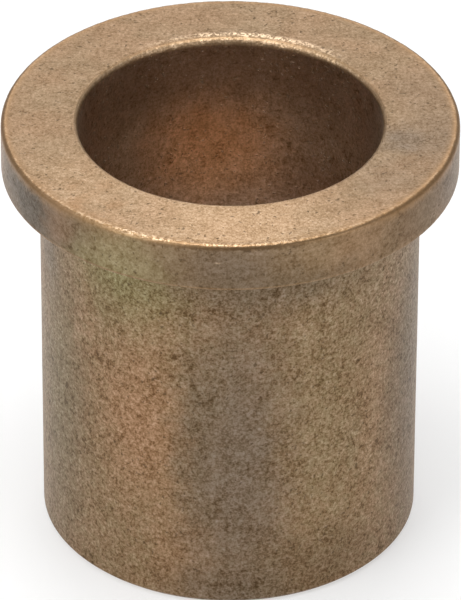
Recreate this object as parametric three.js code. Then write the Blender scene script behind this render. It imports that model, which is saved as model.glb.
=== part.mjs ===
// Flanged sleeve bushing of sintered, oil-filled bronze.
//
// It is one piece: a straight sleeve with a flange pressed in one with its upper end, and a
// plain bore right through. The sleeve is pressed into a housing until the flange seats, a
// shaft turns in the bore, and the flange's top face takes the thrust.
//
// Millimetres, +Z up. The bore's axis is the Z axis. The origin is at the centre of the
// sleeve's lower end, so the bushing stands on z = 0 with its flange on top.

import * as THREE from 'three';

// Driving dimensions
const boreDiameter = 25.4; // 1 in shaft
const sleeveDiameter = 31.75; // 1 1/4 in housing
const flangeDiameter = 38.1; // 1 1/2 in
const overallLength = 38.1; // 1 1/2 in, flange included
const flangeThickness = 4.25;

// Edges
const boreChamfer = 0.4; // 45 degrees, at both ends of the bore
const sleeveChamfer = 0.4; // 45 degrees, the lead-in for the housing
const flangeEdgeRadius = 0.2; // both outer edges of the flange
const cornerFillet = 0.5; // where the sleeve meets the flange

// How finely the round shapes are divided
const stepsAround = 120;
const stepsPerQuarterArc = 4;

// Finish: dull tan bronze with a fine grain
const bronze = new THREE.MeshStandardMaterial({
  color: 0xab8a66,
  roughness: 0.5,
  metalness: 0.85,
});

// A quarter circle in the half-section, as points (radius, height). Its angles are in quarter
// turns from the outward direction towards +Z, and both of its ends are included.
function quarterArc(centreRadius, centreHeight, arcRadius, fromQuarter, toQuarter) {
  const points = [];
  for (let step = 0; step <= stepsPerQuarterArc; step += 1) {
    const quarter = fromQuarter + ((toQuarter - fromQuarter) * step) / stepsPerQuarterArc;
    const angle = (quarter * Math.PI) / 2;
    const radius = centreRadius + arcRadius * Math.cos(angle);
    const height = centreHeight + arcRadius * Math.sin(angle);
    points.push(new THREE.Vector2(radius, height));
  }
  return points;
}

// The closed outline of the wall on one side of the axis: out along the lower end, up the
// sleeve, out under the flange, up its rim, in over the top face, and down the bore.
function bushingSection() {
  const boreRadius = boreDiameter / 2;
  const sleeveRadius = sleeveDiameter / 2;
  const flangeRadius = flangeDiameter / 2;
  const top = overallLength;
  const underFlange = overallLength - flangeThickness;
  const rimRadius = flangeRadius - flangeEdgeRadius;
  const filletRadius = sleeveRadius + cornerFillet;

  const lowerEnd = [
    new THREE.Vector2(boreRadius, boreChamfer),
    new THREE.Vector2(boreRadius + boreChamfer, 0),
    new THREE.Vector2(sleeveRadius - sleeveChamfer, 0),
    new THREE.Vector2(sleeveRadius, sleeveChamfer),
  ];
  const fillet = quarterArc(filletRadius, underFlange - cornerFillet, cornerFillet, 2, 1);
  const lowerRim = quarterArc(rimRadius, underFlange + flangeEdgeRadius, flangeEdgeRadius, -1, 0);
  const upperRim = quarterArc(rimRadius, top - flangeEdgeRadius, flangeEdgeRadius, 0, 1);
  const upperEnd = [
    new THREE.Vector2(boreRadius + boreChamfer, top),
    new THREE.Vector2(boreRadius, top - boreChamfer),
  ];
  const outline = [...lowerEnd, ...fillet, ...lowerRim, ...upperRim, ...upperEnd];
  return [...outline, outline[0].clone()];
}

// The solid: the section turned once round the axis. A lathe turns about Y, so it is stood up.
function bushingGeometry() {
  const geometry = new THREE.LatheGeometry(bushingSection(), stepsAround);
  geometry.rotateX(Math.PI / 2);
  return geometry;
}

const bushing = new THREE.Mesh(bushingGeometry(), bronze);
bushing.name = 'flanged_bushing';

const part = new THREE.Group();
part.add(bushing);

export default part;
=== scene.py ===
"""Looks for the flanged sleeve bushing of sintered, oil-filled bronze.

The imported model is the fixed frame. This script builds the bushing's fine surface round it, gives
it a porous bronze material, and stands it on a pale floor in soft studio light. Everything is in
metres, +Z up, and the bushing's lower end is on z = 0.
"""

import math

import bpy
from mathutils import Matrix, Vector, noise


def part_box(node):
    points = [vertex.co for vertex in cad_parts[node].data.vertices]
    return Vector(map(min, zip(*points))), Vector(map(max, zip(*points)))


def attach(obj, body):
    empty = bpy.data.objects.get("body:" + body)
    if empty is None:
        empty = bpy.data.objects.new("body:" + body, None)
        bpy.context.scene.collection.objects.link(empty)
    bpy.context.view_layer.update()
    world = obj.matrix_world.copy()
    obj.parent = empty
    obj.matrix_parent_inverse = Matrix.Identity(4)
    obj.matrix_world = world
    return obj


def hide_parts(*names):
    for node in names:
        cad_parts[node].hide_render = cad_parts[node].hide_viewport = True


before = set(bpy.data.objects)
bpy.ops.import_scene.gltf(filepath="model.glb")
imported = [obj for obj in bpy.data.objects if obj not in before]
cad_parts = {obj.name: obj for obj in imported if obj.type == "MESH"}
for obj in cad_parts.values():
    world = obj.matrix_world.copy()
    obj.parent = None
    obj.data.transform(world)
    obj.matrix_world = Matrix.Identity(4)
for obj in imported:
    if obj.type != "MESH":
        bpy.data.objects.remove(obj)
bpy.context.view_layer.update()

MM = 0.001
MICRON = 0.001 * MM

# The bushing's sizes, as on the CAD part: the outside comes from the frame
NODE = "flanged_bushing"
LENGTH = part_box(NODE)[1].z
FLANGE_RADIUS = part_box(NODE)[1].x
FLANGE_TO_SLEEVE = 1.2
FLANGE_TO_BORE = 1.5
SLEEVE_RADIUS = FLANGE_RADIUS / FLANGE_TO_SLEEVE
BORE_RADIUS = FLANGE_RADIUS / FLANGE_TO_BORE
FLANGE_THICKNESS = 4.25 * MM
SLEEVE_CHAMFER = 0.4 * MM
FILLET = 0.5 * MM

# Its worn edges, which come out up to 0.13 mm off the CAD part's
BORE_CHAMFER = 0.25 * MM
BORE_ROUND = 0.42 * MM  # the bore's chamfer is worn quite round
BORE_SIDE_DEPTH = 0.85  # how deep its upper edge is worn at the sides, as a share of that rounding
BORE_BACK_DEPTH = 0.53  # how much deeper it is worn at the back, as another share
RIM_ROUND = 0.14 * MM
TOP_EDGE_ROUND = 0.38 * MM
SOFT_CORNER = 0.12 * MM  # what tumbling leaves of a sharp corner
WORN_REACH = 0.55 * MM  # how far an edge's wear runs into a flat end: 4 times as far as elsewhere

# How finely the surface is divided
STEPS_AROUND = 720
CORNER_STEP = 0.08 * MM

# The camera: in front of the bushing and well above it. Its angles are in degrees.
VIEW_ELEVATION = 34.145
VIEW_ROLL = 0.245
VIEW_DISTANCE = 578.5 * MM
VIEW_LENS = 411.24  # focal length and sensor width in millimetres
VIEW_SENSOR = 36
VIEW_SHIFT = (0.0015, 0.0167)


def direction_to(azimuth, elevation):
    """Azimuth 0 is the camera's side and 90 the right-hand side, in degrees."""
    a, e = math.radians(azimuth), math.radians(elevation)
    return Vector((math.sin(a) * math.cos(e), -math.cos(a) * math.cos(e), math.sin(e)))


def spot_at(azimuth, radius, height):
    """The place at that azimuth in degrees, distance from the axis and height."""
    return direction_to(azimuth, 0) * radius + Vector((0, 0, height))


# ---------------------------------------------------------------- the bushing's surface


class Row:
    """One ring of the surface: where it is in the half-section, its outward direction and its looks."""

    def __init__(self, radius, height, out, part, worn):
        self.radius = radius
        self.height = height
        self.out = out
        self.part = part
        self.worn = worn


def outward(direction):
    """The outward direction of a side that is followed with the wall on its left."""
    return Vector((direction.y, -direction.x))


def side_rows(start, end, step, part, worn_start, worn_end):
    """The rows along a straight side, without its two ends, which belong to the corners."""
    along = end - start
    reach = WORN_REACH if part == "end" else WORN_REACH / 4
    count = max(2, round(along.length / step))
    lengths = [along.length * i / count for i in range(1, count)]
    # Rows where the wear ends keep it from running on to the next row
    if step > reach and along.length > 2 * reach:
        lengths = [reach, *lengths, along.length - reach]
    rows = []
    for length in lengths:
        place = start + along.normalized() * length
        wear_start = worn_start * (1 - length / reach)
        wear_end = worn_end * (1 - (along.length - length) / reach)
        worn = max(0.0, wear_start, wear_end)
        rows.append(Row(place.x, place.y, outward(along.normalized()), part, worn))
    return rows


def corner_rows(corner, before, after, radius, wear_before, wear_after, part):
    """A corner between two directions, rounded. One that turns right is a fillet."""
    turn = before.cross(after)
    angle = math.atan2(turn, before.dot(after))
    bend = 1.0 if angle > 0 else -1.0
    centre = corner - before * (radius * math.tan(abs(angle) / 2)) - outward(before) * (bend * radius)
    count = max(2, round(abs(angle) * radius / CORNER_STEP))
    first = math.atan2(outward(before).y, outward(before).x)
    rows = []
    for i in range(count + 1):
        a = first + angle * i / count
        out = Vector((math.cos(a), math.sin(a)))
        place = centre + out * (bend * radius)
        worn = wear_before + (wear_after - wear_before) * i / count
        rows.append(Row(place.x, place.y, out, part, worn))
    return rows


def section_rows():
    """The wall's half-section, once round: lower end, sleeve, flange, top face, bore."""
    under = LENGTH - FLANGE_THICKNESS
    # Radius, height and rounding of each corner, and its wear at its two ends
    corners = [
        (BORE_RADIUS + BORE_CHAMFER, 0, BORE_ROUND, 0.3, 0.1),
        (SLEEVE_RADIUS - SLEEVE_CHAMFER, 0, SOFT_CORNER, 0.1, 0.2),
        (SLEEVE_RADIUS, SLEEVE_CHAMFER, SOFT_CORNER, 0.1, 0.0),
        (SLEEVE_RADIUS, under, FILLET, 0.0, 0.0),
        (FLANGE_RADIUS, under, RIM_ROUND, 0.1, 0.2),
        (FLANGE_RADIUS, LENGTH, TOP_EDGE_ROUND, 0.2, 1.0),
        (BORE_RADIUS + BORE_CHAMFER, LENGTH, BORE_ROUND, 0.0, 1.0),
        (BORE_RADIUS, LENGTH - BORE_CHAMFER, BORE_ROUND, 1.0, 0.8),
        (BORE_RADIUS, BORE_CHAMFER, BORE_ROUND, 0.0, 0.3),
    ]
    # The side that starts at each corner, and how far apart its rows are
    sides = [
        ("end", 0.6 * MM),
        ("chamfer", 0.15 * MM),
        ("sleeve", 1.4 * MM),
        ("end", 0.6 * MM),
        ("rim", 0.5 * MM),
        ("end", 0.35 * MM),
        ("chamfer", 0.1 * MM),
        ("bore", 2.4 * MM),
        ("chamfer", 0.15 * MM),
    ]
    places = [Vector((r, z)) for r, z, *_ in corners]
    count = len(corners)
    ways = [(places[(i + 1) % count] - places[i]).normalized() for i in range(count)]
    rounded = []
    for i, (_, _, radius, *wear) in enumerate(corners):
        rounded.append(corner_rows(places[i], ways[i - 1], ways[i], radius, *wear, sides[i - 1][0]))
    rows = []
    for i, (part, step) in enumerate(sides):
        here, there = rounded[i], rounded[(i + 1) % count]
        start = Vector((here[-1].radius, here[-1].height))
        end = Vector((there[0].radius, there[0].height))
        rows += here
        rows += side_rows(start, end, step, part, here[-1].worn, there[0].worn)
    return rows


def wear_and_highlight_share(angle, radius):
    """The share of its wear that an edge has seen at this angle. The outer edges have seen most of it
    at the front left, and the bore's edges at the back. The worn colour and glints that gather there
    are partly real wear and partly a painted highlight."""
    if radius < SLEEVE_RADIUS - SLEEVE_CHAMFER:
        back = max(0.0, -math.cos(angle))
        return 0.45 + 0.2 * back
    front_left = max(0.0, math.cos(angle + math.radians(14))) ** 6
    return 0.6 + 0.4 * front_left


def worn_height(row, angle):
    """The row's height. The bore's upper edge is worn deeper at the back than at the sides."""
    depth = LENGTH - row.height
    if row.radius > SLEEVE_RADIUS or depth > 2 * BORE_ROUND:
        return row.height
    back = max(0.0, -math.cos(angle)) ** 2
    return LENGTH - depth * (BORE_SIDE_DEPTH + BORE_BACK_DEPTH * back)


def unevenness(place, worn):
    """How far the real surface stands off the ideal one: pressing ripples, and chips on worn edges."""
    fine_ripple = 5 * MICRON * noise.noise(place / (1.3 * MM))
    broad_ripple = 9 * MICRON * noise.noise(place / (6 * MM))
    crumbs = max(0.0, noise.noise(place / (0.30 * MM)) + 0.2)
    chips = max(0.0, noise.noise(place / (1.1 * MM) + Vector((7, 3, 1))) - 0.3)
    return fine_ripple + broad_ripple - worn * (60 * MICRON * crumbs + 120 * MICRON * chips)


def bushing_mesh():
    """The section turned once round the axis, with its looks kept as numbers on the vertices."""
    rows = section_rows()
    places, worn_values = [], []
    parts = {name: [] for name in ("rim", "end", "bore")}
    for row in rows:
        for k in range(STEPS_AROUND):
            angle = 2 * math.pi * k / STEPS_AROUND
            round_x, round_y = math.sin(angle), -math.cos(angle)
            place = Vector((row.radius * round_x, row.radius * round_y, worn_height(row, angle)))
            out = Vector((row.out.x * round_x, row.out.x * round_y, row.out.y))
            worn = row.worn * wear_and_highlight_share(angle, row.radius)
            place += out * unevenness(place, worn)
            places.append(place)
            worn_values.append(worn)
            for name, values in parts.items():
                values.append(1.0 if row.part == name else 0.0)
    faces = []
    for i in range(len(rows)):
        this, above = i * STEPS_AROUND, (i + 1) % len(rows) * STEPS_AROUND
        for k in range(STEPS_AROUND):
            n = (k + 1) % STEPS_AROUND
            faces.append((this + k, this + n, above + n, above + k))
    mesh = bpy.data.meshes.new("bushing")
    mesh.from_pydata(places, [], faces)
    mesh.shade_smooth()
    for name, values in {"worn": worn_values, **parts}.items():
        mesh.attributes.new(name, "FLOAT", "POINT").data.foreach_set("value", values)
    return mesh


def make_bushing(material):
    bushing = bpy.data.objects.new("bushing_surface", bushing_mesh())
    bpy.context.scene.collection.objects.link(bushing)
    bushing.data.materials.append(material)
    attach(bushing, "root")
    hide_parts(NODE)
    return bushing


# ---------------------------------------------------------------- materials


class Shader:
    """One material's nodes. Each method adds a node and gives back its result."""

    def __init__(self, name):
        self.material = bpy.data.materials.new(name)
        self.material.use_nodes = True
        self.tree = self.material.node_tree
        self.tree.nodes.clear()

    def node(self, kind, inputs, **settings):
        made = self.tree.nodes.new(kind)
        for name, value in settings.items():
            setattr(made, name, value)
        for name, value in inputs.items():
            if isinstance(value, bpy.types.NodeSocket):
                self.tree.links.new(value, made.inputs[name])
            else:
                made.inputs[name].default_value = value
        return made

    def math(self, operation, first, second=0.0):
        return self.node("ShaderNodeMath", {0: first, 1: second}, operation=operation).outputs[0]

    def add(self, first, second):
        return self.math("ADD", first, second)

    def times(self, first, second):
        return self.math("MULTIPLY", first, second)

    def place(self):
        """The place on the object, in millimetres."""
        where = self.node("ShaderNodeTexCoord", {}).outputs["Object"]
        scale = self.node("ShaderNodeVectorMath", {0: where, 1: (1 / MM,) * 3}, operation="MULTIPLY")
        return scale.outputs[0]

    def stretch(self, place, factors):
        made = self.node("ShaderNodeVectorMath", {0: place, 1: factors}, operation="MULTIPLY")
        return made.outputs[0]

    def noise(self, place, size, detail=2.0, roughness=0.5):
        """Noise from 0 to 1 with features of about that size in millimetres."""
        inputs = {"Vector": place, "Scale": 1 / size, "Detail": detail, "Roughness": roughness}
        return self.node("ShaderNodeTexNoise", inputs).outputs["Fac"]

    def ramp(self, value, low, high, to_low=0.0, to_high=1.0):
        """A smooth step from to_low, where value is low, to to_high, where it is high."""
        inputs = {"Value": value, "From Min": low, "From Max": high, "To Min": to_low, "To Max": to_high}
        made = self.node("ShaderNodeMapRange", inputs, interpolation_type="SMOOTHSTEP")
        return made.outputs["Result"]

    def waver(self, place, size, amount):
        """The place, shifted to and fro by up to about half that amount, to make outlines ragged."""
        shift = self.node("ShaderNodeTexNoise", {"Vector": place, "Scale": 1 / size, "Detail": 2.0})
        centred = self.node(
            "ShaderNodeVectorMath", {0: shift.outputs["Color"], 1: (0.5,) * 3}, operation="SUBTRACT"
        )
        inputs = {0: centred.outputs[0], 1: (amount,) * 3, 2: place}
        return self.node("ShaderNodeVectorMath", inputs, operation="MULTIPLY_ADD").outputs[0]

    def spot(self, place, centre, half_sizes):
        """1 at the centre, fading to 0 at the half-sizes."""
        away = self.node("ShaderNodeVectorMath", {0: place, 1: centre}, operation="SUBTRACT")
        inputs = {0: away.outputs[0], 1: half_sizes}
        share = self.node("ShaderNodeVectorMath", inputs, operation="DIVIDE")
        length = self.node("ShaderNodeVectorMath", {0: share.outputs[0]}, operation="LENGTH")
        return self.ramp(length.outputs["Value"], 0.1, 1.0, 1.0, 0.0)

    def height(self, place):
        return self.node("ShaderNodeSeparateXYZ", {0: place}).outputs["Z"]

    def across(self, place):
        """How far the place is to the left or right of the bushing's axis."""
        return self.math("ABSOLUTE", self.node("ShaderNodeSeparateXYZ", {0: place}).outputs["X"])

    def radius(self, place):
        """How far the place is from the bushing's axis."""
        flat = self.stretch(place, (1, 1, 0))
        return self.node("ShaderNodeVectorMath", {0: flat}, operation="LENGTH").outputs["Value"]

    def shade(self, colour, brightness):
        """The colour made brighter or darker. The dark places keep more red and the light less."""
        inputs = {
            "X": self.math("POWER", brightness, 0.82),
            "Y": brightness,
            "Z": self.math("POWER", brightness, 1.35),
        }
        factors = self.node("ShaderNodeCombineXYZ", inputs).outputs[0]
        return self.node("ShaderNodeVectorMath", {0: colour, 1: factors}, operation="MULTIPLY").outputs[0]

    def attribute(self, name):
        return self.node("ShaderNodeAttribute", {}, attribute_name=name).outputs["Fac"]

    def tint(self, share, colour, other):
        """colour turned towards other by share."""
        made = self.node("ShaderNodeMix", {}, data_type="RGBA", blend_type="MIX")
        for socket, value in ((0, share), (6, colour), (7, other)):
            if isinstance(value, bpy.types.NodeSocket):
                self.tree.links.new(value, made.inputs[socket])
            else:
                made.inputs[socket].default_value = value
        return made.outputs[2]

    def finish(self, principled):
        output = self.tree.nodes.new("ShaderNodeOutputMaterial")
        self.tree.links.new(principled.outputs["BSDF"], output.inputs["Surface"])
        return self.material


def stains_and_painted_light():
    """Where the oil and the furnace have left another hue, and where light and shade are painted: a
    colour, its centre as azimuth in degrees, radius and height in millimetres, its half-sizes across and
    upward, and its strength."""
    olive = (0.225, 0.188, 0.088, 1)
    copper = (0.32, 0.178, 0.094, 1)
    mauve = (0.170, 0.127, 0.090, 1)
    grey = (0.150, 0.120, 0.094, 1)
    slate = (0.125, 0.100, 0.074, 1)
    umber = (0.135, 0.098, 0.062, 1)
    moss = (0.28, 0.23, 0.125, 1)
    shaded = (0.205, 0.138, 0.083, 1)
    brown = (0.155, 0.100, 0.054, 1)
    rust = (0.30, 0.165, 0.075, 1)
    wear_and_painted_light = (0.42, 0.275, 0.155, 1)
    return [
        # Painted light: the top face lighter at the front and front left
        (wear_and_painted_light, 0, 16, 38, 13, 3, 0.72),
        (wear_and_painted_light, -50, 16, 38, 9, 3, 0.35),
        (olive, -33, 17, 32, 8, 8, 0.9),
        (slate, -58, 19, 36, 10, 5, 0.95),
        (copper, -47, 19, 36, 3, 3, 0.4),
        (brown, 55, 19, 36, 8, 4, 0.6),
        (copper, -28, 16, 17, 6, 13, 0.75),
        (copper, -14, 16, 5, 4, 8, 0.5),
        # Painted shade: the sleeve darker down its front
        (mauve, 3, 16, 14, 7, 26, 0.8),
        (mauve, 0, 19, 36, 7, 4, 0.7),
        (mauve, -70, 16, 29, 3, 7, 0.6),
        (copper, 48, 16, 17, 3, 12, 0.35),
        # Painted shade: the sleeve darker under the flange
        (umber, 14, 16, 32, 15, 5, 0.55),
        # Painted shade: the sleeve darker low down, near the floor
        (brown, -14, 16, 2, 4, 3, 0.5),
        # Painted shade: the flange's rim darker at the front left
        (brown, -17, 19, 36, 4, 4, 0.45),
        (moss, -27, 19, 35.5, 6, 4, 0.6),
        (rust, -45, 19, 37.2, 9, 1.4, 0.7),
        (rust, 60, 19, 37.2, 8, 1.4, 0.6),
        # Painted shade: the top face darker towards the right
        (shaded, 82, 18, 38, 7, 3, 0.85),
        (shaded, 58, 16, 38, 6, 3, 0.6),
        # Painted shade: the sleeve darker low down, near the floor
        (brown, 28, 16, 3, 9, 6, 0.6),
        (mauve, 0, 16, 0, 7, 5, 0.5),
        (slate, 74, 19, 36, 5, 4, 0.4),
        # Painted shade: the sleeve darker at its sides, under the flange and down its front left
        (umber, -62, 16, 15, 6, 18, 0.4),
        (umber, 70, 16, 15, 7, 18, 0.5),
        (umber, 10, 16, 33, 12, 4, 0.4),
        (umber, -11, 16, 15, 3, 18, 0.35),
        (grey, 78, 14.5, 38, 3, 3, 0.5),
        (olive, 34, 16, 15, 7, 18, 0.12),
        (olive, -66, 16, 17, 5, 18, 0.25),
        # Painted shade: the top face darker at the right
        (shaded, 105, 17, 38, 6, 3, 0.5),
        (shaded, 80, 19, 38, 5, 3, 0.6),
        (olive, 150, 16, 22, 8, 10, 0.5),
        (mauve, 200, 16, 12, 6, 14, 0.5),
        (copper, 235, 16, 20, 7, 12, 0.5),
    ]


TOP = LENGTH / MM  # the top face's height, in the material's millimetres


class Zones:
    """Where the surface is worn, rim, flat end, bore or sleeve, from 0 to 1. The chamfers and the
    fillet count as sleeve."""

    def __init__(self, s):
        self.worn = s.attribute("worn")
        self.rim = s.attribute("rim")
        self.end = s.attribute("end")
        self.bore = s.attribute("bore")
        self.not_end = s.math("SUBTRACT", 1.0, self.end)
        self.sleeve = s.math("SUBTRACT", self.not_end, s.add(self.rim, self.bore))


def tarnish_and_painted_light(s, place, ragged, zones):
    """The hue of all but the bore. It changes slowly, mostly round the axis, and has stains and painted
    light and shade on it.
    """
    tan = (0.260, 0.173, 0.096, 1)
    copper = (0.272, 0.170, 0.092, 1)
    green_tan = (0.225, 0.172, 0.085, 1)
    upright = s.stretch(place, (1.0, 1.0, 0.3))
    colour = s.tint(s.ramp(s.noise(upright, 5.0, 2.0), 0.35, 0.65), tan, copper)
    greener = s.times(zones.sleeve, s.ramp(s.noise(place, 0.9), 0.4, 0.65, 0.0, 0.3))
    colour = s.tint(greener, colour, green_tan)
    # Each stain, and each patch of painted light and shade
    for patch_colour, azimuth, radius, height, across, upward, strength in stains_and_painted_light():
        spot = s.spot(ragged, spot_at(azimuth, radius, height), (across, across, upward))
        share = s.times(spot, strength)
        share = s.times(share, zones.not_end if height < TOP - 1 else zones.end)
        colour = s.tint(share, colour, patch_colour)
    return colour


def bore_hue_and_painted_light(s, place, ragged):
    """A painted copper glow at the back, and painted shade down the middle, at the back right, low down
    and at the mouth; the sides keep the plain tone.
    """
    painted_glow_copper = (0.76, 0.435, 0.235, 1)
    plain_bore_tone = (0.655, 0.53, 0.405, 1)
    painted_bore_shade = (0.36, 0.245, 0.167, 1)
    # Painted light and shade: the glow is a painted reflection of light at the back; the shadow, the
    # darker middle, the lower part and the mouth are painted shade
    glow = s.spot(ragged, spot_at(187, 12, 28), (8.5, 8.5, 9.5))
    shadow = s.spot(ragged, spot_at(142, 12, 24), (7, 7, 12))
    aside = s.ramp(s.across(place), 5, 12)
    height = s.height(ragged)
    mouth = s.times(s.ramp(height, TOP - 8.5, TOP - 3), s.ramp(aside, 0, 1, 0.95, 0.3))
    lower = s.ramp(height, TOP - 15, TOP - 8, 0.75, 0.0)
    wall = s.tint(s.ramp(aside, 0, 1, 0.5, 0.0), plain_bore_tone, painted_bore_shade)
    wall = s.tint(s.add(lower, s.times(shadow, 0.4)), wall, painted_bore_shade)
    wall = s.tint(glow, wall, painted_glow_copper)
    return s.tint(mouth, wall, painted_bore_shade)


def powder_grain(s, place):
    """Grains of powder in three sizes, from 0 to 1."""
    grain = s.times(s.noise(place, 0.30, 1.5, 0.7), 0.62)
    grain = s.add(grain, s.times(s.noise(place, 0.15, 1.0), 0.2))
    return s.add(grain, s.times(s.noise(place, 0.65, 1.0), 0.18))


def grain_brightness(s, place, grain, zones):
    """How bright the grains are. The dies have smoothed all but the sleeve, which is calmer at the
    front, and off the flat ends some grains stand in dark clusters."""
    darkest = 0.35
    rim_and_end = s.add(s.times(zones.rim, 1.6), s.times(zones.end, 1.25))
    smoothed = s.add(rim_and_end, s.times(zones.bore, 0.75))
    calm = s.spot(place, spot_at(3, 16, 14), (8, 8, 26))
    contrast = s.math("SUBTRACT", 3.3, smoothed)
    contrast = s.math("SUBTRACT", contrast, s.times(calm, 0.8))
    blotch = s.ramp(s.noise(place, 1.8, 3.0), 0.3, 0.7, -0.12, 0.10)
    darkening = s.ramp(s.noise(place, 4.5), 0.42, 0.62, 0.0, -0.5)
    clusters = s.times(s.ramp(s.noise(place, 0.7), 0.5, 0.75), darkening)
    blotch = s.add(blotch, s.times(clusters, zones.not_end))
    brightness = s.add(s.add(1.0, blotch), s.times(s.add(grain, -0.5), contrast))
    return s.math("MAXIMUM", brightness, darkest)


def open_pores(s, place, zones):
    """Where a pore is open. There are fewer on the rim and on the rubbed edges."""
    open_share = s.add(0.34, s.ramp(s.noise(place, 3.0), 0.4, 0.7, -0.02, 0.04))
    open_share = s.add(open_share, s.add(s.times(zones.rim, -0.01), s.times(zones.end, 0.008)))
    pores = s.ramp(s.math("SUBTRACT", open_share, s.noise(place, 0.36, 1.0)), 0.0, 0.08)
    return s.times(pores, s.math("SUBTRACT", 1.0, s.times(zones.worn, 0.8)))


def top_edge_hue(s, place, zones, colour):
    """The rounding of the flange's upper edge is ragged: painted shade darkens it at the front, and it is
    warm elsewhere.
    """
    painted_lip_shade = (0.08, 0.048, 0.024, 1)
    warm_edge = (0.37, 0.215, 0.10, 1)
    ragged_height = s.height(s.waver(place, 0.4, 0.9))
    front = s.spot(place, spot_at(2, 19, TOP), (10, 10, 9))
    # Painted shade: the lip of the rounding darkened at the front
    lip = s.times(zones.rim, s.ramp(ragged_height, TOP - 0.55, TOP - 0.3))
    colour = s.tint(s.times(lip, s.times(front, 0.9)), colour, painted_lip_shade)
    elsewhere = s.ramp(s.spot(place, spot_at(0, 19, TOP), (20, 20, 20)), 0.1, 0.5, 1, 0)
    flank = s.times(zones.rim, s.ramp(ragged_height, TOP - 1.1, TOP - 0.2))
    return s.tint(s.times(flank, s.times(elsewhere, 0.5)), colour, warm_edge)


def worn_edge_hue_and_highlight(s, zones, outside, colour):
    """The worn edges are tan round the bore, and brown round the flange. The light tan round the bore is
    partly a painted highlight.
    """
    edge_tan_and_highlight = (0.46, 0.31, 0.18, 1)
    edge_brown = (0.30, 0.175, 0.08, 1)
    wear_and_painted_light = s.times(zones.worn, s.add(0.85, s.times(zones.bore, 0.6)))
    return s.tint(wear_and_painted_light, colour, s.tint(outside, edge_tan_and_highlight, edge_brown))


def glittering(s, place, zones, outside):
    """Where the worn edges glitter, partly as painted glints: round the bore's upper edge, on a ring
    beside the back of it that is a painted glint, and on the crest of the flange's upper edge, where a
    painted highlight puts most of it at the front left."""
    ring_radius = 13.45
    off_ring = s.math("SUBTRACT", s.radius(s.waver(place, 0.5, 0.4)), ring_radius)
    on_ring = s.ramp(s.math("ABSOLUTE", off_ring), 0.1, 0.45, 1.0, 0.0)
    ring = s.times(on_ring, s.ramp(s.height(place), TOP - 0.1, TOP - 0.05))
    # Painted glint: the ring is kept only behind the bore
    behind = s.spot(place, spot_at(172, 13, TOP), (12, 8, 5))
    ring = s.times(s.times(ring, zones.end), behind)
    # Painted highlight: most of the crest's glitter at the front left
    most = s.spot(place, spot_at(-23, 19, TOP), (2.8, 2.8, 3))
    crest = s.ramp(s.height(s.waver(place, 0.4, 0.2)), TOP - 0.2, TOP - 0.08)
    outer = s.times(crest, s.add(0.4, s.times(most, 0.6)))
    share = s.add(s.math("SUBTRACT", 1.0, outside), s.times(outside, outer))
    return s.math("MAXIMUM", s.times(s.ramp(zones.worn, 0.3, 0.9), share), ring)


def bare_flecks_and_glints(s, place, glitter):
    """Bare flecks of metal, which stand between duller ones where the surface glitters. Where the glitter
    is a painted glint, they are painted highlights.
    """
    flecks = s.times(glitter, s.ramp(s.noise(place, 0.2, 1.0), 0.42, 0.58, 0.05, 1.0))
    return s.times(flecks, s.ramp(s.noise(place, 0.9, 1.0), 0.4, 0.55, 0.35, 1.0))


def porous_bronze():
    """Sintered bronze: grains of tan metal, dark oily pores between them, and a patchy tarnish, with
    painted light, shade and glints.
    """
    pore = (0.11, 0.068, 0.032, 1)
    bright = (0.80, 0.59, 0.395, 1)

    s = Shader("sintered_bronze")
    place = s.place()
    ragged = s.waver(place, 2.0, 3.0)
    zones = Zones(s)
    grain = powder_grain(s, place)
    pores = open_pores(s, place, zones)
    outside = s.ramp(s.radius(place), 14, 17)  # 0 round the bore and 1 round the flange
    glitter = glittering(s, place, zones, outside)
    flecks = bare_flecks_and_glints(s, place, glitter)
    nick = s.spot(place, spot_at(-3, 19, TOP - 1.6), (0.4, 0.4, 0.14))

    colour = s.tint(zones.bore, tarnish_and_painted_light(s, place, ragged, zones), bore_hue_and_painted_light(s, place, ragged))
    colour = s.shade(colour, grain_brightness(s, place, grain, zones))
    colour = s.tint(s.times(pores, s.add(0.5, s.times(zones.end, 0.1))), colour, pore)
    colour = top_edge_hue(s, place, zones, colour)
    colour = worn_edge_hue_and_highlight(s, zones, outside, colour)
    colour = s.tint(flecks, colour, bright)
    colour = s.tint(s.times(nick, 0.35), colour, bright)

    rough = s.add(s.ramp(grain, 0.3, 0.7, 0.55, 0.46), s.times(pores, 0.2))
    rough = s.add(rough, s.add(s.times(zones.rim, -0.04), s.times(flecks, -0.08)))
    rough = s.add(rough, s.times(zones.bore, -0.16))

    relief = s.times(grain, s.add(0.022, s.times(glitter, 0.04)))
    relief = s.add(relief, s.times(pores, -0.015))
    relief = s.add(relief, s.times(nick, -0.03))
    bump = s.node("ShaderNodeBump", {"Height": relief, "Distance": MM, "Strength": 1.0})

    inputs = {
        "Base Color": colour,
        "Metallic": 1.0,
        "Roughness": rough,
        "Normal": bump.outputs["Normal"],
        "Coat Weight": 0.1,
        "Coat Roughness": 0.25,
    }
    return s.finish(s.node("ShaderNodeBsdfPrincipled", inputs))


def floor_paper():
    """Plain pale studio paper, lit from below as well, so that shadows on it stay faint."""
    s = Shader("floor_paper")
    inputs = {
        "Base Color": (0.5, 0.5, 0.5, 1),
        "Roughness": 0.9,
        "Specular IOR Level": 0.2,
        "Emission Color": (1, 1, 1, 1),
        "Emission Strength": 0.5,
    }
    return s.finish(s.node("ShaderNodeBsdfPrincipled", inputs))


# ---------------------------------------------------------------- floor, light and camera

FLOOR_REACH = 12.0  # metres from the bushing to the floor's sides
FLOOR_DROP = 0.02 * MM  # the floor lies just clear of the lower end's unevenness


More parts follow.
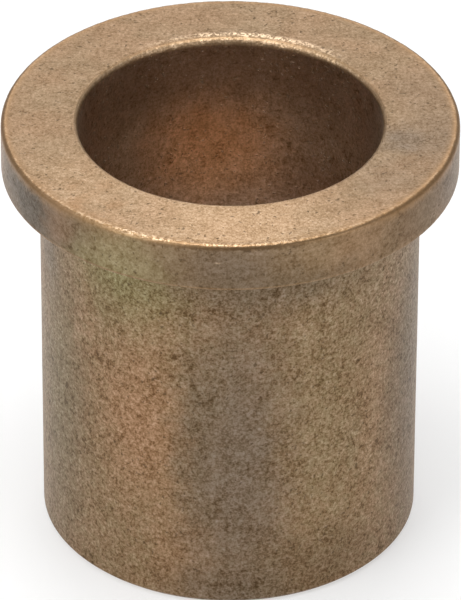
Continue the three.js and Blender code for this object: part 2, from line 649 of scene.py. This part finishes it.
def make_floor():
    sides = ((-1, -1), (1, -1), (1, 1), (-1, 1))
    mesh = bpy.data.meshes.new("floor")
    corners = [(x * FLOOR_REACH, y * FLOOR_REACH, -FLOOR_DROP) for x, y in sides]
    mesh.from_pydata(corners, [], [(0, 1, 2, 3)])
    floor = bpy.data.objects.new("floor", mesh)
    bpy.context.scene.collection.objects.link(floor)
    mesh.materials.append(floor_paper())


def softbox(name, azimuth, elevation, distance, size, power):
    """A square diffuser that faces the bushing. It lights it and shows in the metal only."""
    light = bpy.data.lights.new(name, "AREA")
    light.shape = "SQUARE"
    light.size = size
    light.energy = power
    box = bpy.data.objects.new(name, light)
    bpy.context.scene.collection.objects.link(box)
    towards = direction_to(azimuth, elevation)
    box.location = Vector((0, 0, LENGTH / 2)) + towards * distance
    box.rotation_mode = "QUATERNION"
    box.rotation_quaternion = towards.to_track_quat("Z", "Y")
    box.visible_camera = False


def make_light():
    # Azimuth, elevation, distance and size in metres, and power in watts
    softbox("top", 0, 89, 0.15, 0.085, 0.162)
    softbox("back", 180, 38, 0.30, 0.16, 0.19)
    softbox("front_left", -45, 38, 0.30, 0.16, 0.255)
    softbox("low_left", -45, 14, 0.30, 0.16, 0.125)
    softbox("low_right", 45, 14, 0.30, 0.16, 0.163)
    softbox("left", -90, 38, 0.30, 0.16, 0.07)
    world = bpy.data.worlds.new("studio")
    world.use_nodes = True
    background = world.node_tree.nodes["Background"]
    background.inputs["Color"].default_value = (1, 1, 1, 1)
    background.inputs["Strength"].default_value = 0.40
    bpy.context.scene.world = world


def make_camera():
    data = bpy.data.cameras.new("camera")
    data.lens = VIEW_LENS
    data.sensor_width = VIEW_SENSOR
    data.shift_x, data.shift_y = VIEW_SHIFT
    data.clip_start, data.clip_end = 0.01, 100
    camera = bpy.data.objects.new("camera", data)
    bpy.context.scene.collection.objects.link(camera)
    back = direction_to(0, VIEW_ELEVATION)
    place = Vector((0, 0, LENGTH / 2)) + back * VIEW_DISTANCE
    roll = Matrix.Rotation(math.radians(VIEW_ROLL), 3, "Z")
    turn = back.to_track_quat("Z", "Y").to_matrix() @ roll
    camera.matrix_world = Matrix.Translation(place) @ turn.to_4x4()
    bpy.context.scene.camera = camera


def main():
    make_bushing(porous_bronze())
    make_floor()
    make_light()
    make_camera()
    bpy.context.scene.view_settings.view_transform = "Standard"


main()
